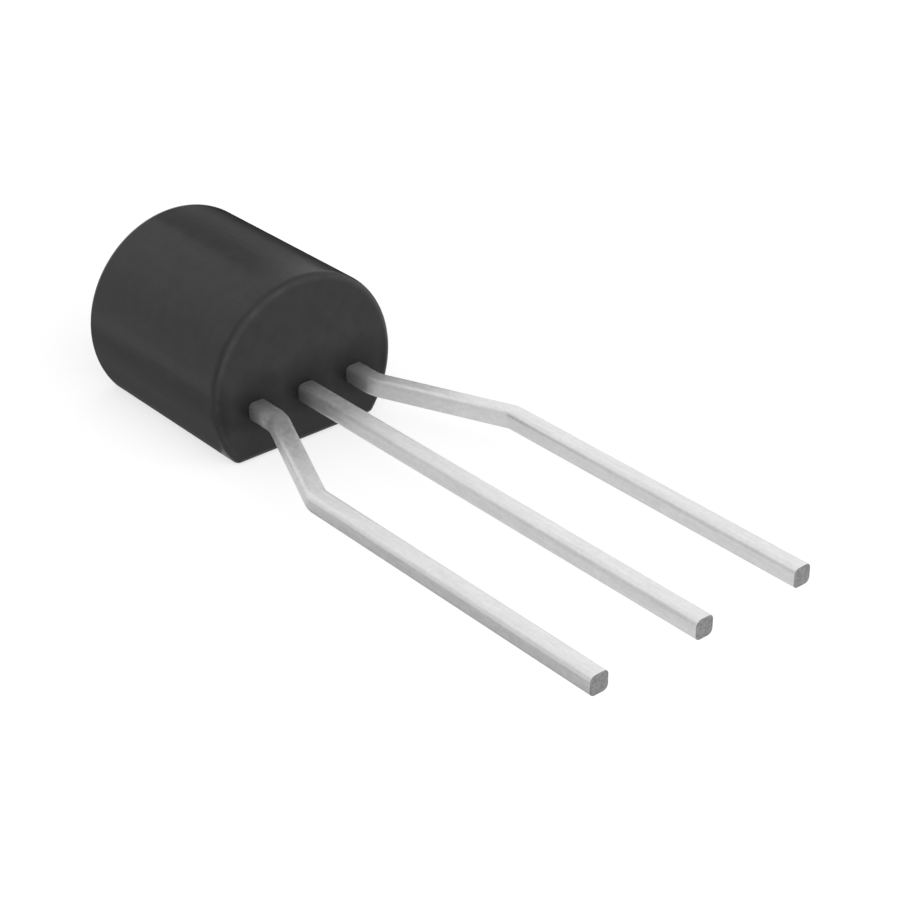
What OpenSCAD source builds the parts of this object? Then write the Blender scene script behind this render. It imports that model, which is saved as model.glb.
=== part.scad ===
// Three-lead transistor in a TO-92 package: a moulded D-shaped body on three formed leads.
// Millimetres. The part lies on its flat. X runs along the leads, away from the body,
// Y runs across the row of leads, and Z points up from the flat. The origin is the centre
// of the flat.

/* [Body] */
// Diameter of the round side
body_d = 4.63; // [4.45:0.01:5.2]
// Length of the body, along the leads
body_len = 4.86; // [4.32:0.01:5.33]
// Depth of the body, from the flat to the crown of the round side
body_depth = 3.81; // [3.6:0.01:4.19]
// Radius round the rim of each end
rim_round = 0.2; // [0.1:0.01:0.3]

/* [Leads] */
// Width of a lead, across the row
lead_w = 0.43; // [0.38:0.01:0.5]
// Thickness of the lead frame
lead_t = 0.43; // [0.36:0.01:0.48]
// Rounding of a lead's four long edges
lead_round = 0.12; // [0.05:0.01:0.15]
// Height of the lead frame's middle plane over the flat
lead_height = 1.18; // [1:0.01:1.35]
// Spacing of the leads where they leave the body
exit_pitch = 1.27; // [1.15:0.01:1.39]
// Spacing of the leads at their tips, after forming
formed_pitch = 2.54; // [2.2:0.01:2.9]
// Distance from the body to the tips
lead_len = 11.55; // [8:0.05:14.5]
// Distance from the body to the corner of the first bend
first_bend = 0.72; // [0.6:0.01:1.2]
// Distance from the body to the corner of the second bend
second_bend = 3.69; // [3.2:0.01:4.5]
// Centre-line radius of the first bend
first_bend_r = 1; // [0.6:0.05:1.4]
// Centre-line radius of the second bend
second_bend_r = 0.5; // [0.3:0.05:0.9]
// How much a lead's section swells on each side in a bend
bend_swell = 0.005; // [0.004:0.001:0.01]

/* [Lead frame inside the body] */
// Length of each shank, from the end of the body to the head that it carries
shank_len = 0.85; // [0.6:0.05:1]
// Width of the head on each outer lead
head_w = 0.75; // [0.6:0.05:0.85]
// Length of the head on each outer lead
head_len = 1.3; // [1.1:0.05:1.6]
// How far each outer head is set out from the middle of its shank
head_shift = 0.09; // [0.02:0.01:0.14]
// Gap between an outer head and the pad in the middle
head_gap = 0.28; // [0.2:0.02:0.34]
// Diameter of the notch that locks an outer head in the moulding
notch_d = 0.36; // [0.24:0.02:0.44]
// Length of the pad in the middle
pad_len = 2.1; // [1.9:0.05:2.4]
// Diameter of the hole that locks the pad in the moulding
lock_hole_d = 0.5; // [0.4:0.05:0.6]
// Distance from the hole's centre to the far edge of the pad
lock_hole_inset = 0.5; // [0.4:0.05:0.6]
// Corner radius of the stamped heads and pad
stamp_round = 0.08; // [0.04:0.01:0.12]

/* [Die and bond wires] */
// Side of the square die
die_side = 0.5; // [0.36:0.01:0.6]
// Thickness of the die
die_t = 0.2; // [0.12:0.01:0.28]
// Distance from the near edge of the pad to the die's centre
die_inset = 0.7; // [0.6:0.05:0.8]
// Thickness of the bond between the die and the pad
attach_t = 0.03; // [0.02:0.005:0.05]
// How far that bond shows round the die
attach_margin = 0.05; // [0.02:0.01:0.08]
// Diameter of a bond wire
wire_d = 0.038; // [0.03:0.002:0.05]
// Diameter of the ball that joins a wire to the die
ball_d = 0.11; // [0.09:0.005:0.13]
// Height of the ball
ball_h = 0.04; // [0.03:0.005:0.05]
// Distance from a ball's centre to the two edges of the die beside it
ball_inset = 0.11; // [0.08:0.01:0.14]
// Straight rise of a wire over its ball
wire_rise = 0.16; // [0.1:0.01:0.24]
// Radius of a wire's loop
loop_r = 0.1; // [0.07:0.01:0.14]
// Diameter of the foot that joins a wire to its head
foot_d = 0.13; // [0.11:0.01:0.16]
// Height of the foot
foot_h = 0.02; // [0.015:0.005:0.03]

/* [Hidden] */
$fn = 48;

// Body
body_r = body_d / 2;
axis_height = body_depth - body_r;        // the round side's axis, over the flat
lead_end = body_len / 2;                  // X of the face that the leads leave

// Leads
splay = atan2(formed_pitch - exit_pitch, second_bend - first_bend);
first_setback = first_bend_r * tan(splay / 2);
second_setback = second_bend_r * tan(splay / 2);
slant_len = (second_bend - first_bend) / cos(splay) - first_setback - second_setback;
bend_lap = 0.04;                          // how far a bar runs on inside a bend

// Lead frame inside the body
head_end = lead_end - shank_len;          // X where the shanks widen
shank_root = head_end - stamp_round;      // a shank starts inside its head
head_y = exit_pitch + head_shift;         // middle of an outer head
pad_w = 2 * (head_y - head_w / 2 - head_gap);
lead_top = lead_height + lead_t / 2;      // upper face of the pad and the heads

// Die and bond wires
die_x = head_end - die_inset;
die_top = lead_top + attach_t + die_t;
ball_at = die_side / 2 - ball_inset;      // a ball's place, from the die's centre
wire_from = [die_x + ball_at, ball_at];
wire_to = [head_end - head_len / 2, head_y];
wire_heading = atan2(wire_to.y - wire_from.y, wire_to.x - wire_from.x);
wire_span = norm(wire_to - wire_from);
loop_rise = ball_h + wire_rise;           // where the loop starts, over the die
loop_drop = loop_rise + die_top - lead_top;
reach = norm([wire_span - loop_r, loop_drop]);
wire_fall = atan2(loop_drop, wire_span - loop_r) + asin(loop_r / reach);
wire_run = sqrt(reach * reach - loop_r * loop_r);

// ---- Body ----

// Half of the round side's outline, turned about its axis to round the rims
module rim_profile() {
    translate([0, -lead_end]) square([body_r - rim_round, body_len]);
    translate([0, rim_round - lead_end]) square([body_r, body_len - 2 * rim_round]);
    for (side = [-1, 1])
        translate([body_r - rim_round, side * (lead_end - rim_round)]) circle(rim_round);
}

// What lies over the flat, seen from the side: the rims are rounded there too. It is
// higher and wider than the body, so it shapes nothing but the flat.
module over_flat() {
    translate([rim_round - lead_end, 0]) square([body_len - 2 * rim_round, 2 * body_d]);
    translate([-lead_end, rim_round]) square([body_len, 2 * body_d]);
    for (side = [-1, 1])
        translate([side * (lead_end - rim_round), rim_round]) circle(rim_round);
}

// The outside of the moulding, as the mould leaves it: a D with rounded rims
module moulding() {
    intersection() {
        translate([0, 0, axis_height]) rotate([0, 90, 0]) rotate_extrude($fn = 180) rim_profile();
        translate([0, body_d, 0]) rotate([90, 0, 0]) linear_extrude(2 * body_d) over_flat();
    }
}

module moulded_body() {
    color("#3b3b3c") difference() {
        moulding();
        collector_lead();
        emitter_lead();
        base_lead();
        die_attach();
        silicon_die();
        emitter_wire();
        base_wire();
    }
}

// ---- Leads ----

// A centred rectangle with round corners
module round_rect(size, r) {
    square([size.x - 2 * r, size.y], center = true);
    square([size.x, size.y - 2 * r], center = true);
    for (x = [-1, 1], y = [-1, 1])
        translate([x * (size.x / 2 - r), y * (size.y / 2 - r)]) circle(r);
}

module lead_section(swell = 0) {
    round_rect([lead_w + 2 * swell, lead_t + 2 * swell], lead_round + swell);
}

// A lead is a chain: each step carries the next one on its end. A bar runs on inside
// the bends before and after it, which are a little thicker.
module bar(length, before = 0, after = 0) {
    translate([-before, 0, 0]) rotate([90, 0, 90])
        linear_extrude(before + length + after) lead_section();
    translate([length, 0, 0]) children();
}

module left_bend(radius, angle) {
    translate([0, radius, 0]) {
        rotate(-90) rotate_extrude(angle = angle) translate([radius, 0])
            lead_section(bend_swell);
        rotate(angle) translate([0, -radius, 0]) children();
    }
}

module right_bend(radius, angle) {
    mirror([0, 1, 0]) left_bend(radius, angle) mirror([0, 1, 0]) children();
}

// An outer lead from its head to its tip, on the +Y side
module splayed_lead() {
    translate([shank_root, exit_pitch, lead_height])
        bar(lead_end + first_bend - first_setback - shank_root, after = bend_lap)
        left_bend(first_bend_r, splay)
        bar(slant_len, before = bend_lap, after = bend_lap)
        right_bend(second_bend_r, splay)
        bar(lead_len - second_bend - second_setback, before = bend_lap);
}

// The head of an outer lead, with a notch in its outer edge
module outer_head() {
    translate([head_end - head_len / 2, head_y, lead_height - lead_t / 2])
        linear_extrude(lead_t) difference() {
            round_rect([head_len, head_w], stamp_round);
            translate([0, head_w / 2]) circle(d = notch_d);
        }
}

module outer_lead() {
    color("silver") {
        splayed_lead();
        outer_head();
    }
}

module emitter_lead() {
    outer_lead();
}

module base_lead() {
    mirror([0, 1, 0]) outer_lead();
}

// The middle lead is straight and carries the pad
module collector_lead() {
    color("silver") {
        translate([shank_root, 0, lead_height]) bar(lead_end + lead_len - shank_root);
        translate([head_end - pad_len / 2, 0, lead_height - lead_t / 2])
            linear_extrude(lead_t) difference() {
                round_rect([pad_len, pad_w], stamp_round);
                translate([lock_hole_inset - pad_len / 2, 0]) circle(d = lock_hole_d);
            }
    }
}

// ---- Die and bond wires ----

module silicon_die() {
    color("slategray") translate([die_x, 0, lead_top + attach_t + die_t / 2])
        cube([die_side, die_side, die_t], center = true);
}

module die_attach() {
    side = die_side + 2 * attach_margin;
    color("darkgray") translate([die_x, 0, lead_top])
        linear_extrude(attach_t) round_rect([side, side], attach_margin);
}

// A wire from its ball on the die, over its loop and down to its foot on a head.
// It starts at the origin, which is on the die, and runs along X.
module wire_loop() {
    intersection() {
        translate([0, 0, ball_h / 2]) sphere(d = ball_d);
        translate([-ball_d, -ball_d, 0]) cube([2 * ball_d, 2 * ball_d, ball_h]);
    }
    cylinder(d = wire_d, h = loop_rise);
    translate([loop_r, 0, loop_rise]) rotate([90, 0, 0]) {
        rotate(90 - wire_fall) rotate_extrude(angle = 90 + wire_fall)
            translate([loop_r, 0]) circle(d = wire_d);
    }
    difference() {
        translate([loop_r, 0, loop_rise]) rotate([0, wire_fall, 0]) translate([0, 0, loop_r])
            rotate([0, 90, 0]) cylinder(d = wire_d, h = wire_run + 2 * wire_d);
        translate([0, -foot_d, lead_top - die_top - foot_d])
            cube([wire_span + foot_d, 2 * foot_d, foot_d]);
    }
    translate([wire_span, 0, lead_top - die_top]) cylinder(d = foot_d, h = foot_h);
}

module emitter_wire() {
    color("gold") translate([wire_from.x, wire_from.y, die_top])
        rotate(wire_heading) wire_loop();
}

module base_wire() {
    mirror([0, 1, 0]) emitter_wire();
}

moulded_body();
collector_lead();
emitter_lead();
base_lead();
silicon_die();
die_attach();
emitter_wire();
base_wire();
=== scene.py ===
"""Looks of a three-lead transistor in a TO-92 package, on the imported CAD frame.

Lengths in this script are millimetres; MM turns them into Blender's metres. As in the
part's source, X runs along the leads, Y across them and Z up from the flat.
"""

import math

import bpy
import numpy as np
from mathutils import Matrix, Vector


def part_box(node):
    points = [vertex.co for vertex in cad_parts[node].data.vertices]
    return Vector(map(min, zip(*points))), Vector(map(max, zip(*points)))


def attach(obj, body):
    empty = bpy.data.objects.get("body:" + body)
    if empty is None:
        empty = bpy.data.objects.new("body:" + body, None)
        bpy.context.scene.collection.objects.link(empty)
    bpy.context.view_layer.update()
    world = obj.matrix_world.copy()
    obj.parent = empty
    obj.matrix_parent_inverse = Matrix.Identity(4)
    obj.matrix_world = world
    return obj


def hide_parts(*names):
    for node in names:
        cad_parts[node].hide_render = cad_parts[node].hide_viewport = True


MM = 0.001
QUARTERS = [(1, 1), (-1, 1), (-1, -1), (1, -1)]     # signs of a rectangle's corners, in order

# Body
RIM_ROUND = 0.2         # radius round the rim of each end
FLAT_ROUND = 0.16       # radius along the two long edges of the flat
LEAST_FLAT_ROUND = 0.03         # what is left of it in the rings on an end
END_RINGS = (1.8, 1.5, 1.2, 0.9, 0.65, 0.45, 0.3)   # how far each ring on an end is drawn in
RIM_RINGS = 13          # rings of points round each rim
LENGTH_RINGS = 25       # and from rim to rim
ROUND_STEPS = 200       # points round the D: on the round side
CORNER_STEPS = 8        # at each long edge of the flat
FLAT_STEPS = 16         # and across the flat

# Leads
LEAD_WIDTH = 0.43
LEAD_ROUND = 0.12       # rounding of a lead's long edges
LEAST_LEAD_ROUND = 0.02         # what is left of it on the cropped end
LEAD_CORNER_POINTS = 9
LEAD_SIDE_POINTS = (0.25, 0.5, 0.75)    # places of the points between two corners
EXIT_PITCH = 1.27       # spacing of the leads where they leave the body
FORMED_PITCH = 2.54     # and at their tips
FIRST_BEND = 0.72       # distance from the body to the corner of each bend
SECOND_BEND = 3.69
FIRST_BEND_R = 1.0      # radius of the centre line in each bend
SECOND_BEND_R = 0.5
TIP_ROUND = 0.02        # rounding of the cropped end's rim
TIP_STEPS = 6           # steps round that rim
TIP_RINGS = (0.06, 0.11, 0.16)  # how far each ring on the cropped end is drawn in
RUN_STEP = 0.2          # spacing of the points along a straight run
BEND_STEPS = 14

# Lead frame inside the body
SHANK = 0.85            # from the end of the body to the heads
HEAD = (1.3, 0.75)      # length and width of an outer lead's head
HEAD_SHIFT = 0.09       # from the lead's centre line out to the head's
HEAD_GAP = 0.28         # between a head and the pad
NOTCH_D = 0.36          # the round notch in a head's outer edge
NOTCH_POINTS = 13
PAD_LENGTH = 2.1
LOCK_HOLE_D = 0.5
LOCK_HOLE_POINTS = 24
LOCK_HOLE_INSET = 0.5   # from the pad's far end to the centre of its hole
STAMP_ROUND = 0.08      # rounding of the outlines' corners
STAMP_CORNER_STEPS = 6
STAMP_EDGE = 0.01       # rounding of the stamped edges
RUN_IN = 0.1            # how far a lead runs into its head or pad

# Finishes, with painted shade and painted highlights
GREATER_PART = (0.3, 0.7)       # the range that most of a noise lies in
PAINTED_SHADE_REACH = 1.0              # how far the painted shade on the end face reaches round each lead
PAINTED_SHADE_STRENGTH = 0.75
PAINTED_SHADE_EDGE = 0.1         # how far along the rim it fades out
PAINTED_RIM_LINES = [           # painted lines round each rim, a dark one of painted shade and a light one of painted highlight: inset from the end, width, strength and grey
    (0.1, 0.035, 0.4, 0.006),
    (0.032, 0.03, 0.45, 0.05),
]
ROOT_PAINTED_SHADE = (0.75, 0, 0.65)     # painted shade on the tin next to the body: its strength, and from where to where it fades
EMITTER_PAINTED_SHADE = (0.45, 0.9, 2.8)         # the same painted shade, along the emitter lead alone
EMITTER_SIDE = (0.9, 1.1)       # the y where that lead's share sets in

# Camera
CAMERA_AT = (34.927, -23.504, 22.573)
CAMERA_TURN = (60.271, 0.163, 49.726)
CAMERA_LENS = 86.22
CAMERA_SENSOR = 36
CAMERA_CLIP = (1, 2000)

# Light: a radiance of 1 shows as white
WORLD_LEVEL = 0.38      # what dull surfaces get from the world
TOP_LEVEL = 0.35        # the softbox overhead
FRONT_LEVEL = 1.7       # the one before the leads
SIDE_LEVEL = 0.7        # and the one on the camera's side
FLOOR_REACH = 60
FLOOR_Z = -0.002        # just under the flat
FLOOR_COLOUR = 0.4
FLOOR_SHOWN = 0.68      # what the floor adds for the camera, so that it shows white
FLOOR_MIRRORED = 0.4    # and for reflections, where the object shades it
CARD_AWAY = 5.5         # from the round side's axis to the curved cards
CARD_ARC_POINTS = 9
CARD_Z = 0.001          # height of the cards that lie on the floor

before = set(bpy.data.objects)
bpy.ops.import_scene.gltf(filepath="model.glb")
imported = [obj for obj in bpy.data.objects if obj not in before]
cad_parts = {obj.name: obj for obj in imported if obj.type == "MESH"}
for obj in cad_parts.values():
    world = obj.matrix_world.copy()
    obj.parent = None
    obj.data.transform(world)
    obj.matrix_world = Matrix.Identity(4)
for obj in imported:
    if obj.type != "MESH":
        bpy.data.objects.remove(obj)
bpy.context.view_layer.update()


def box_mm(node):
    low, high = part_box(node)
    return np.array(low) / MM, np.array(high) / MM


body_low, body_high = box_mm("moulded_body")
lead_low, lead_high = box_mm("collector_lead")

BODY_R = (body_high[1] - body_low[1]) / 2
BODY_DEPTH = body_high[2]
AXIS_Z = BODY_DEPTH - BODY_R
FACE_X = body_high[0]                       # the end that the leads leave
TIP_X = lead_high[0]
LEAD_Z = (lead_low[2] + lead_high[2]) / 2
LEAD_T = lead_high[2] - lead_low[2]
HEAD_X = FACE_X - SHANK
HEAD_Y = EXIT_PITCH + HEAD_SHIFT
PAD_WIDTH = 2 * (HEAD_Y - HEAD[1] / 2 - HEAD_GAP)


# ---- Meshes ----

def new_piece(name, points, faces, normals, face_materials=None):
    """A mesh object riding on the body "root", from points in millimetres."""
    mesh = bpy.data.meshes.new(name)
    mesh.from_pydata([tuple(p) for p in np.asarray(points, float) * MM], [], faces)
    mesh.polygons.foreach_set("use_smooth", [True] * len(mesh.polygons))
    if face_materials is not None:
        mesh.polygons.foreach_set("material_index", face_materials)
    mesh.update()
    mesh.normals_split_custom_set_from_vertices([tuple(n) for n in normals])
    piece = bpy.data.objects.new(name, mesh)
    bpy.context.scene.collection.objects.link(piece)
    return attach(piece, "root")


def ring_faces(rings, count):
    """Quads between successive rings of `count` points each."""
    faces = []
    for i in range(rings - 1):
        a = i * count
        b = a + count
        for j in range(count):
            k = (j + 1) % count
            faces.append((a + j, a + k, b + k, b + j))
    return faces


def d_section(inset):
    """The D of the body, drawn in by `inset`: points and outward normals in the YZ plane."""
    radius = BODY_R - inset
    corner = max(FLAT_ROUND - inset, LEAST_FLAT_ROUND)
    corner_z = inset + corner
    corner_y = math.sqrt((radius - corner) ** 2 - (AXIS_Z - corner_z) ** 2)
    start = math.atan2(corner_z - AXIS_Z, corner_y)       # where the round side meets the corner
    points = []
    normals = []

    def arc(y, z, r, a0, a1, steps):
        for a in np.linspace(a0, a1, steps, endpoint=False):
            points.append((y + r * math.cos(a), z + r * math.sin(a)))
            normals.append((math.cos(a), math.sin(a)))

    arc(0, AXIS_Z, radius, start, math.pi - start, ROUND_STEPS)
    arc(-corner_y, corner_z, corner, math.pi - start, 1.5 * math.pi, CORNER_STEPS)
    for y in np.linspace(-corner_y, corner_y, FLAT_STEPS, endpoint=False):
        points.append((y, inset))
        normals.append((0, -1))
    arc(corner_y, corner_z, corner, -math.pi / 2, start, CORNER_STEPS)
    return np.array(points), np.array(normals)


def moulded_body():
    """The moulding: a round side and a flat, with rims rounded at both ends.

    A station is a ring's place along X, how far it is drawn in, and its normals' tilt.
    """
    end = [(-FACE_X, inset, -90) for inset in END_RINGS]
    rim_x = FACE_X - RIM_ROUND
    for angle in np.linspace(-90, 0, RIM_RINGS):
        a = math.radians(angle)
        end.append((RIM_ROUND * math.sin(a) - rim_x, RIM_ROUND * (1 - math.cos(a)), angle))
    stations = end + [(x, 0, 0) for x in np.linspace(-rim_x, rim_x, LENGTH_RINGS)[1:-1]]
    stations += [(-x, inset, -angle) for x, inset, angle in reversed(end)]
    points = []
    normals = []
    for x, inset, angle in stations:
        section, outward = d_section(inset)
        a = math.radians(angle)
        points += [(x, y, z) for y, z in section]
        normals += [(math.sin(a), math.cos(a) * y, math.cos(a) * z) for y, z in outward]
    count = len(section)
    faces = ring_faces(len(stations), count)
    last = (len(stations) - 1) * count
    centre = len(points)
    middle_z = BODY_DEPTH / 2
    points += [(-FACE_X, 0, middle_z), (FACE_X, 0, middle_z)]
    normals += [(-1, 0, 0), (1, 0, 0)]
    for j in range(count):
        k = (j + 1) % count
        faces.append((centre, k, j))
        faces.append((centre + 1, last + j, last + k))
    return new_piece("body_moulding", points, faces, normals)


def lead_section(inset):
    """A lead's section, drawn in by `inset`: points (across, up) and outward normals."""
    r = max(LEAD_ROUND - inset, LEAST_LEAD_ROUND)
    centre = np.array([LEAD_WIDTH / 2 - inset - r, LEAD_T / 2 - inset - r])
    points = []
    normals = []
    for quarter in range(4):
        here = centre * QUARTERS[quarter]
        there = centre * QUARTERS[(quarter + 1) % 4]
        for angle in np.linspace(quarter * 90, quarter * 90 + 90, LEAD_CORNER_POINTS):
            outward = np.array([math.cos(math.radians(angle)), math.sin(math.radians(angle))])
            points.append(here + r * outward)
            normals.append(outward)
        for t in LEAD_SIDE_POINTS:
            points.append(here + (there - here) * t + r * outward)
            normals.append(outward)
    return np.array(points), np.array(normals)


def forward(heading):
    return np.array([math.cos(heading), math.sin(heading)])


def leftward(heading):
    return np.array([-math.sin(heading), math.cos(heading)])


def straight(start, end):
    """A straight run: a list of (x, y) and heading, as a path has."""
    start = np.array(start, float)
    end = np.array(end, float)
    length = np.linalg.norm(end - start)
    heading = math.atan2(end[1] - start[1], end[0] - start[0])
    count = max(2, int(round(length / RUN_STEP)) + 1)
    return [(start + (end - start) * t, heading) for t in np.linspace(0, 1, count)]


def bend(corner, heading_in, heading_out, radius):
    """The part of a path round a bend whose straight runs would meet at `corner`."""
    turn = heading_out - heading_in
    setback = radius * math.tan(abs(turn) / 2)
    sign = 1 if turn > 0 else -1
    start = np.array(corner, float) - setback * forward(heading_in)
    centre = start + radius * sign * leftward(heading_in)
    headings = np.linspace(heading_in, heading_out, BEND_STEPS + 1)
    return [(centre - radius * sign * leftward(h), h) for h in headings]


def formed_path(side):
    """Centre line of an outer lead, from its head to its tip: (x, y) and heading."""
    exit_y = side * EXIT_PITCH
    tip_y = side * FORMED_PITCH
    splay = math.atan2(tip_y - exit_y, SECOND_BEND - FIRST_BEND)
    first = bend((FACE_X + FIRST_BEND, exit_y), 0, splay, FIRST_BEND_R)
    second = bend((FACE_X + SECOND_BEND, tip_y), splay, 0, SECOND_BEND_R)
    path = straight((HEAD_X - RUN_IN, exit_y), first[0][0])[:-1] + first
    path += straight(first[-1][0], second[0][0])[1:-1] + second
    return path + straight(second[-1][0], (TIP_X - TIP_ROUND, tip_y))[1:]


def swept_lead(path):
    """A closed sweep along `path`, with a rounded rim at the tip.

    A row is a ring's place and heading on the path, how far it is ahead of that place
    and drawn in, and its normals' tilt. Material 1 is the cropped metal.
    """
    points = []
    normals = []
    rows = [(p, h, 0.0, 0.0, 0.0) for p, h in path]
    tip, heading = path[-1]
    for angle in np.linspace(0, 90, TIP_STEPS + 1)[1:]:
        a = math.radians(angle)
        rows.append((tip, heading, TIP_ROUND * math.sin(a), TIP_ROUND * (1 - math.cos(a)), angle))
    for inset in TIP_RINGS:
        rows.append((tip, heading, TIP_ROUND, inset, 90.0))
    for p, h, ahead, inset, angle in rows:
        section, outward = lead_section(inset)
        along = np.array([*forward(h), 0])
        across = np.array([*leftward(h), 0])
        up = np.array([0, 0, 1.0])
        origin = np.array([p[0], p[1], LEAD_Z]) + ahead * along
        a = math.radians(angle)
        for (s, t), (ns, nt) in zip(section, outward):
            points.append(origin + s * across + t * up)
            normals.append(math.sin(a) * along + math.cos(a) * (ns * across + nt * up))
    count = len(section)
    faces = ring_faces(len(rows), count)
    cropped_row = len(path) + 1         # part of the way round the rim
    materials = [int(i // count >= cropped_row) for i in range(len(faces))]
    start = len(points)
    end = start + 1
    p, h = path[0]
    points.append((p[0], p[1], LEAD_Z))
    normals.append((-math.cos(h), -math.sin(h), 0))
    points.append((tip[0] + TIP_ROUND, tip[1], LEAD_Z))
    normals.append((math.cos(heading), math.sin(heading), 0))
    last = (len(rows) - 1) * count
    for j in range(count):
        k = (j + 1) % count
        faces.append((start, k, j))
        faces.append((end, last + j, last + k))
        materials += [0, 1]
    return points, faces, normals, materials


def rounded_outline(cx, cy, length, width):
    """A rectangle with rounded corners, as points in the XY plane."""
    points = []
    for quarter, (sx, sy) in enumerate(QUARTERS):
        a0 = quarter * math.pi / 2
        for a in np.linspace(a0, a0 + math.pi / 2, STAMP_CORNER_STEPS + 1):
            points.append((
                cx + sx * (length / 2 - STAMP_ROUND) + STAMP_ROUND * math.cos(a),
                cy + sy * (width / 2 - STAMP_ROUND) + STAMP_ROUND * math.sin(a),
            ))
    return points


def stamped_plate(outlines):
    """A flat stamped shape at the lead frame's height, from outlines in the XY plane."""
    curve = bpy.data.curves.new("stamping", "CURVE")
    curve.dimensions = "2D"
    curve.fill_mode = "BOTH"
    curve.extrude = (LEAD_T / 2 - STAMP_EDGE) * MM
    curve.bevel_depth = STAMP_EDGE * MM
    curve.bevel_resolution = 1
    curve.offset = -STAMP_EDGE * MM
    for outline in outlines:
        spline = curve.splines.new("POLY")
        spline.points.add(len(outline) - 1)
        for point, (x, y) in zip(spline.points, outline):
            point.co = (x * MM, y * MM, 0, 1)
        spline.use_cyclic_u = True
    maker = bpy.data.objects.new("stamping", curve)
    bpy.context.scene.collection.objects.link(maker)
    maker.location.z = LEAD_Z * MM
    bpy.context.view_layer.update()
    evaluated = maker.evaluated_get(bpy.context.evaluated_depsgraph_get())
    mesh = bpy.data.meshes.new_from_object(evaluated)
    mesh.transform(maker.matrix_world)
    points = [tuple(v.co / MM) for v in mesh.vertices]
    faces = [tuple(p.vertices) for p in mesh.polygons]
    normals = [tuple(v.normal) for v in mesh.vertices]
    bpy.data.objects.remove(maker)
    bpy.data.meshes.remove(mesh)
    return points, faces, normals


def lead(name, path, outlines, node):
    """A lead with its head or pad, in place of the CAD node."""
    points, faces, normals, materials = swept_lead(path)
    plate_points, plate_faces, plate_normals = stamped_plate(outlines)
    base = len(points)
    points = points + [np.array(p) for p in plate_points]
    normals = normals + [np.array(n) for n in plate_normals]
    faces = faces + [tuple(base + i for i in f) for f in plate_faces]
    materials = materials + [0] * len(plate_faces)
    piece = new_piece(name, points, faces, normals, materials)
    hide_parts(node)
    return piece


def outer_head(side):
    """Outline of an outer lead's head, with the notch in its outer edge."""
    length, width = HEAD
    cx = HEAD_X - length / 2
    cy = side * HEAD_Y
    edge = cy + side * width / 2
    notch = [
        (cx + NOTCH_D / 2 * math.cos(a), edge - side * NOTCH_D / 2 * math.sin(a))
        for a in np.linspace(0, math.pi, NOTCH_POINTS)
    ]
    if side < 0:
        notch.reverse()
    outline = rounded_outline(cx, cy, length, width)
    corners_before = 1 if side > 0 else 3
    at = corners_before * (STAMP_CORNER_STEPS + 1)
    return outline[:at] + notch + outline[at:]


def pad_outlines():
    """Outlines of the middle lead's pad and of the hole in it."""
    hole_x = HEAD_X - PAD_LENGTH + LOCK_HOLE_INSET
    radius = LOCK_HOLE_D / 2
    hole = [
        (hole_x + radius * math.cos(a), radius * math.sin(a))
        for a in np.linspace(0, -2 * math.pi, LOCK_HOLE_POINTS, endpoint=False)
    ]
    return [rounded_outline(HEAD_X - PAD_LENGTH / 2, 0, PAD_LENGTH, PAD_WIDTH), hole]


# ---- Materials ----

class Nodes:
    """Short names for building a material's nodes."""

    def __init__(self, tree):
        self.tree = tree
        tree.nodes.clear()

    def add(self, kind, inputs=None, **settings):
        node = self.tree.nodes.new(kind)
        for key, value in settings.items():
            setattr(node, key, value)
        for key, value in (inputs or {}).items():
            if isinstance(value, bpy.types.NodeSocket):
                self.tree.links.new(value, node.inputs[key])
            else:
                node.inputs[key].default_value = value
        return node

    def math(self, operation, a, b=0.0):
        return self.add("ShaderNodeMath", {0: a, 1: b}, operation=operation).outputs[0]

    def scaled(self, vector, factors):
        inputs = {0: vector, 1: factors}
        return self.add("ShaderNodeVectorMath", inputs, operation="MULTIPLY").outputs[0]

    def noise(self, vector, scale, detail, roughness):
        inputs = {"Vector": vector, "Scale": scale, "Detail": detail, "Roughness": roughness}
        return self.add("ShaderNodeTexNoise", inputs).outputs["Fac"]

    def map(self, value, low, high, start=0.0, end=1.0):
        """`low` where the value is `start` or less, and `high` where it is `end` or more."""
        node = self.add("ShaderNodeMapRange", {
            "Value": value, "From Min": start, "From Max": end, "To Min": low, "To Max": high,
        })
        return node.outputs["Result"]

    def spread(self, noise, low, high):
        """A noise from `low` to `high`."""
        return self.map(noise, low, high, *GREATER_PART)

    def mix_colour(self, fac, a, b):
        """Colour `a` where `fac` is 0 and `b` where it is 1.

        The node's sockets share their names, so they are taken by number.
        """
        node = self.add("ShaderNodeMix", data_type="RGBA")
        for index, value in ((0, fac), (6, a), (7, b)):
            if isinstance(value, bpy.types.NodeSocket):
                self.tree.links.new(value, node.inputs[index])
            else:
                node.inputs[index].default_value = value
        return node.outputs[2]

    def bump(self, height, strength, depth, normal=None):
        """Relief of `depth` millimetres, on that of `normal`."""
        inputs = {"Height": height, "Strength": strength, "Distance": depth * MM}
        if normal is not None:
            inputs["Normal"] = normal
        return self.add("ShaderNodeBump", inputs).outputs["Normal"]

    def finish(self, inputs):
        shader = self.add("ShaderNodeBsdfPrincipled", inputs)
        out = self.add("ShaderNodeOutputMaterial")
        self.tree.links.new(shader.outputs[0], out.inputs["Surface"])


def grey(level):
    return (level, level, level, 1)


def material(name):
    """A material, its nodes, and the place on the object in millimetres."""
    made = bpy.data.materials.new(name)
    made.use_nodes = True
    nodes = Nodes(made.node_tree)
    place = nodes.add("ShaderNodeTexCoord").outputs["Object"]
    return made, nodes, nodes.scaled(place, (1 / MM, 1 / MM, 1 / MM))


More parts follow.
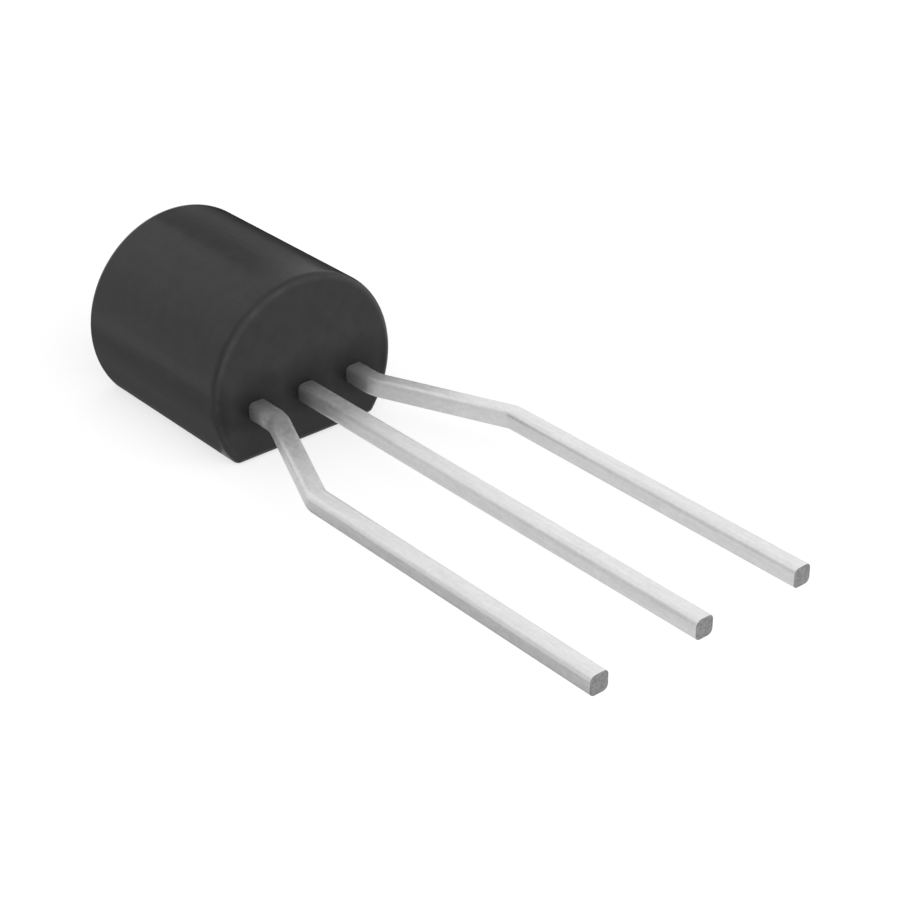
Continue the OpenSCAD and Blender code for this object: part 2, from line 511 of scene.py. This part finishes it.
def painted_shade_round_leads(nodes, x, y, z):
    """A mask of painted shade on the end face round the leads' exits, shorter below them than
    above.
    """
    across = nodes.math("PINGPONG", y, EXIT_PITCH / 2)      # from the nearest lead
    above = nodes.math("SUBTRACT", z, LEAD_Z)
    away = nodes.math("MAXIMUM", above, nodes.math("MULTIPLY", above, -2))
    offset = nodes.add("ShaderNodeCombineXYZ", {"X": across, "Y": away}).outputs[0]
    distance = nodes.add("ShaderNodeVectorMath", {0: offset}, operation="LENGTH").outputs["Value"]
    near_lead = nodes.map(distance, 1, 0, LEAD_T / 2, PAINTED_SHADE_REACH)
    on_end = nodes.map(x, 0, PAINTED_SHADE_STRENGTH, FACE_X - PAINTED_SHADE_EDGE, FACE_X)
    return nodes.math("MULTIPLY", near_lead, on_end)


def painted_rim_line(nodes, x, mottle, inset, width, strength):
    """A mask for a thin line of painted light round both rims, which fades in and out."""
    along = nodes.math("ABSOLUTE", x)
    off_line = nodes.math("ABSOLUTE", nodes.math("SUBTRACT", along, FACE_X - inset))
    line = nodes.map(off_line, strength, 0, width / 3, width)
    return nodes.math("MULTIPLY", line, nodes.map(mottle, 0.3, 1, 0.4, 0.6))


def epoxy():
    """Black moulding compound: matt, a little mottled, with faint draw marks along it, painted
    shade round the leads' exits and painted lines of shade and highlight round the rims.
    """
    made, nodes, mm = material("black_epoxy")
    grain = nodes.noise(mm, scale=22, detail=3, roughness=0.6)
    mottle = nodes.noise(mm, scale=3, detail=3, roughness=0.55)
    streak = nodes.noise(nodes.scaled(mm, (0.1, 1, 1)), scale=2.5, detail=3, roughness=0.6)
    x, y, z = nodes.add("ShaderNodeSeparateXYZ", {"Vector": mm}).outputs
    colour = nodes.mix_colour(nodes.spread(mottle, 0, 1), grey(0.028), grey(0.034))
    # painted shade: the end face goes near black round the leads' exits
    colour = nodes.mix_colour(painted_shade_round_leads(nodes, x, y, z), colour, grey(0.002))
    # painted shade and painted highlight: a dark and a light line round each rim
    for inset, width, strength, level in PAINTED_RIM_LINES:
        line = painted_rim_line(nodes, x, mottle, inset, width, strength)
        colour = nodes.mix_colour(line, colour, grey(level))
    rough = nodes.spread(mottle, 0.28, 0.32)
    normal = nodes.bump(streak, strength=0.6, depth=0.03)
    normal = nodes.bump(grain, strength=0.12, depth=0.01, normal=normal)
    nodes.finish({
        "Base Color": colour, "Roughness": rough, "Normal": normal,
        "IOR": 1.5, "Specular IOR Level": 0.2,
    })
    return made


def tin():
    """Matt tin, streaked along the lead, with painted shade next to the body and along part of
    the emitter lead.
    """
    made, nodes, mm = material("tinned_lead")
    grain = nodes.noise(mm, scale=11, detail=2, roughness=0.6)
    streak = nodes.noise(nodes.scaled(mm, (0.12, 1, 1)), scale=12, detail=3, roughness=0.6)
    x, y, _ = nodes.add("ShaderNodeSeparateXYZ", {"Vector": mm}).outputs

    def fading(strength, start, end):
        return nodes.map(x, strength, 0, FACE_X + start, FACE_X + end)

    colour = nodes.mix_colour(nodes.spread(streak, 0, 1), grey(0.79), grey(0.87))
    colour = nodes.mix_colour(nodes.map(grain, 0.25, 0, 0.3, 0.6), colour, grey(0.6))
    # painted shade next to the body, where its shadow and dark reflection fall on the lead
    colour = nodes.mix_colour(fading(*ROOT_PAINTED_SHADE), colour, grey(0.3))
    # painted shade along part of the emitter lead
    on_emitter = nodes.map(y, 0, 1, *EMITTER_SIDE)
    emitter_shade = nodes.math("MULTIPLY", fading(*EMITTER_PAINTED_SHADE), on_emitter)
    colour = nodes.mix_colour(emitter_shade, colour, grey(0.5))
    rough = nodes.spread(grain, 0.39, 0.47)
    normal = nodes.bump(grain, strength=0.22, depth=0.02)
    normal = nodes.bump(streak, strength=0.2, depth=0.01, normal=normal)
    nodes.finish({"Base Color": colour, "Metallic": 0.9, "Roughness": rough, "Normal": normal})
    return made


def cut_metal():
    """The bare, speckled metal of a cropped end."""
    made, nodes, mm = material("cropped_tip")
    grain = nodes.noise(mm, scale=16, detail=3, roughness=0.65)
    colour = nodes.mix_colour(nodes.map(grain, 0, 1, 0.35, 0.65), grey(0.26), grey(0.41))
    rough = nodes.spread(grain, 0.45, 0.55)
    normal = nodes.bump(grain, strength=0.35, depth=0.02)
    nodes.finish({"Base Color": colour, "Metallic": 1.0, "Roughness": rough, "Normal": normal})
    return made


def inner(name, low, high, metallic, rough, scale):
    """A finish for what is sealed in the body: a grain from colour `low` to `high`."""
    made, nodes, mm = material(name)
    grain = nodes.noise(mm, scale=scale, detail=2, roughness=0.5)
    colour = nodes.mix_colour(nodes.spread(grain, 0, 1), low, high)
    normal = nodes.bump(grain, strength=0.1, depth=0.01)
    nodes.finish({
        "Base Color": colour, "Metallic": metallic, "Normal": normal,
        "Roughness": nodes.spread(grain, rough - 0.04, rough + 0.04),
    })
    return made


def dress(piece, *materials):
    """Gives a piece its materials and keeps which face has which."""
    mesh = piece.data
    faces = [0] * len(mesh.polygons)
    mesh.polygons.foreach_get("material_index", faces)
    mesh.materials.clear()
    for made in materials:
        mesh.materials.append(made)
    mesh.polygons.foreach_set("material_index", faces)


# ---- Stage ----

def any_ray(nodes, *kinds):
    """1 for the light paths named, and 0 for the others."""
    path = nodes.add("ShaderNodeLightPath")
    seen = path.outputs[kinds[0]]
    for kind in kinds[1:]:
        seen = nodes.math("MAXIMUM", seen, path.outputs[kind])
    return seen


def make_world():
    """Plain white to the camera and in reflections, and a softer level on dull surfaces."""
    world = bpy.data.worlds.new("studio")
    bpy.context.scene.world = world
    world.use_nodes = True
    nodes = Nodes(world.node_tree)
    seen = any_ray(nodes, "Is Camera Ray", "Is Glossy Ray", "Is Transmission Ray")
    strength = nodes.map(seen, WORLD_LEVEL, 1.0)
    level = nodes.add("ShaderNodeBackground", {"Color": grey(1), "Strength": strength})
    out = nodes.add("ShaderNodeOutputWorld")
    nodes.tree.links.new(level.outputs[0], out.inputs["Surface"])


def staged(name, points, faces, made):
    """A floor or card: part of the set, and not of the object."""
    mesh = bpy.data.meshes.new(name)
    mesh.from_pydata([tuple(c * MM for c in point) for point in points], [], faces)
    mesh.materials.append(made)
    piece = bpy.data.objects.new(name, mesh)
    bpy.context.scene.collection.objects.link(piece)
    return piece


def make_floor():
    """A pale floor, which shows white and keeps the object's shadow."""
    made = bpy.data.materials.new("floor")
    made.use_nodes = True
    nodes = Nodes(made.node_tree)
    shown = nodes.map(any_ray(nodes, "Is Camera Ray"), 0, FLOOR_SHOWN)
    reflection = any_ray(nodes, "Is Glossy Ray", "Is Transmission Ray")
    mirrored = nodes.map(reflection, 0, FLOOR_MIRRORED)
    glow = nodes.math("MAXIMUM", shown, mirrored)
    diffuse = nodes.add("ShaderNodeBsdfDiffuse", {"Color": grey(FLOOR_COLOUR)})
    emission = nodes.add("ShaderNodeEmission", {"Color": grey(1), "Strength": glow})
    both = nodes.add("ShaderNodeAddShader", {0: diffuse.outputs[0], 1: emission.outputs[0]})
    out = nodes.add("ShaderNodeOutputMaterial")
    nodes.tree.links.new(both.outputs[0], out.inputs["Surface"])
    corners = [(sx * FLOOR_REACH, sy * FLOOR_REACH, FLOOR_Z) for sx, sy in QUARTERS]
    staged("floor", corners, [(0, 1, 2, 3)], made)


def reflection_card(name, level, x_range, section):
    """A card that only glossy surfaces see. A `level` of 1 is as white as the world.

    `section` is a list of points (y, z) across the card.
    """
    made = bpy.data.materials.new(name)
    made.use_nodes = True
    nodes = Nodes(made.node_tree)
    glow = nodes.add("ShaderNodeEmission", {"Color": grey(1), "Strength": level})
    out = nodes.add("ShaderNodeOutputMaterial")
    nodes.tree.links.new(glow.outputs[0], out.inputs["Surface"])
    points = [(x, y, z) for y, z in section for x in x_range]
    faces = [(2 * i, 2 * i + 1, 2 * i + 3, 2 * i + 2) for i in range(len(section) - 1)]
    card = staged(name, points, faces, made)
    card.visible_camera = False
    card.visible_diffuse = False
    card.visible_shadow = False
    card.visible_transmission = False


def card_arc(start, end):
    """Section of a card that is curved round the body's axis, from angles over +Y."""
    angles = [math.radians(a) for a in np.linspace(start, end, CARD_ARC_POINTS)]
    return [(CARD_AWAY * math.cos(a), AXIS_Z + CARD_AWAY * math.sin(a)) for a in angles]


def card_flat(start, end):
    """Section of a card that lies on the floor, from one y to another."""
    return [(start, CARD_Z), (end, CARD_Z)]


def softbox(name, at, size, level):
    """A square area light at `at`, facing the origin, with its radiance given as a level."""
    light = bpy.data.lights.new(name, "AREA")
    light.shape = "RECTANGLE"
    light.size = size * MM
    light.size_y = size * MM
    light.energy = level * light.size * light.size_y * math.pi
    lamp = bpy.data.objects.new(name, light)
    lamp.location = Vector(at) * MM
    lamp.rotation_euler = (-Vector(at)).to_track_quat("-Z", "Y").to_euler()
    lamp.visible_glossy = False
    bpy.context.scene.collection.objects.link(lamp)


def make_camera():
    """The camera at the photo's viewing angle."""
    data = bpy.data.cameras.new("camera")
    data.lens = CAMERA_LENS
    data.sensor_width = CAMERA_SENSOR
    data.clip_start = CAMERA_CLIP[0] * MM
    data.clip_end = CAMERA_CLIP[1] * MM
    camera = bpy.data.objects.new("camera", data)
    camera.location = Vector(CAMERA_AT) * MM
    camera.rotation_euler = [math.radians(a) for a in CAMERA_TURN]
    bpy.context.scene.collection.objects.link(camera)
    bpy.context.scene.camera = camera


# Name, level, extent along X and section
CARDS = [
    ("card_low", 0.0, (-9, 1), card_arc(-10, 22)),
    ("card_middle", 0.17, (-9, 1), card_arc(22, 34)),
    ("card_high", 0.33, (-9, -2.2), card_arc(34, 58)),
    ("card_top", 0.22, (-9, -2.2), card_arc(58, 82)),
    ("card_over", 0.84, (-400, 100), [(90, 150), (-20, 150)]),
    ("card_behind", 0.84, (-400, 100), [(-150, 0), (-150, 105)]),
    ("card_beside", 0.35, (-90, 5), [(-140, 0), (-140, 260)]),
    ("card_under", 0.19, (-9, 1.75), card_flat(-2.25, -1.7)),
    ("card_side", 0.3, (-9, 1.75), card_flat(-2.6, -2.25)),
    ("card_floor", 0.38, (-30, 1.5), card_flat(-5.2, -2.6)),
    ("card_by_lead", 0.38, (4.2, 20), card_flat(-5.2, -2.6)),
    ("card_far", 1.0, (-30, 20), card_flat(-9, -5.2)),
]

bpy.context.scene.view_settings.view_transform = "Standard"
make_camera()
make_world()
make_floor()
softbox("top_light", (0, 0, 140), 300, TOP_LEVEL)
softbox("front_light", (150, 0, 87.5), 200, FRONT_LEVEL)
softbox("side_light", (105, -105, 87.5), 200, SIDE_LEVEL)
for card in CARDS:
    reflection_card(*card)


# ---- The object ----

body = moulded_body()
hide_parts("moulded_body")
dress(body, epoxy())

tinned = tin()
cropped = cut_metal()
straight_path = straight((HEAD_X - RUN_IN, 0), (TIP_X - TIP_ROUND, 0))
for piece in (
    lead("collector_tinned_lead", straight_path, pad_outlines(), "collector_lead"),
    lead("emitter_tinned_lead", formed_path(1), [outer_head(1)], "emitter_lead"),
    lead("base_tinned_lead", formed_path(-1), [outer_head(-1)], "base_lead"),
):
    dress(piece, tinned, cropped)

silicon = inner(
    "silicon", (0.05, 0.055, 0.07, 1), (0.07, 0.075, 0.09, 1), metallic=0.3, rough=0.2, scale=20,
)
solder = inner("solder", grey(0.45), grey(0.55), metallic=1.0, rough=0.45, scale=30)
gold = inner(
    "gold_wire", (0.85, 0.6, 0.25, 1), (0.95, 0.7, 0.32, 1), metallic=1.0, rough=0.25, scale=40,
)
dress(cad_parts["silicon_die"], silicon)
dress(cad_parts["die_attach"], solder)
dress(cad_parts["emitter_wire"], gold)
dress(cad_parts["base_wire"], gold)
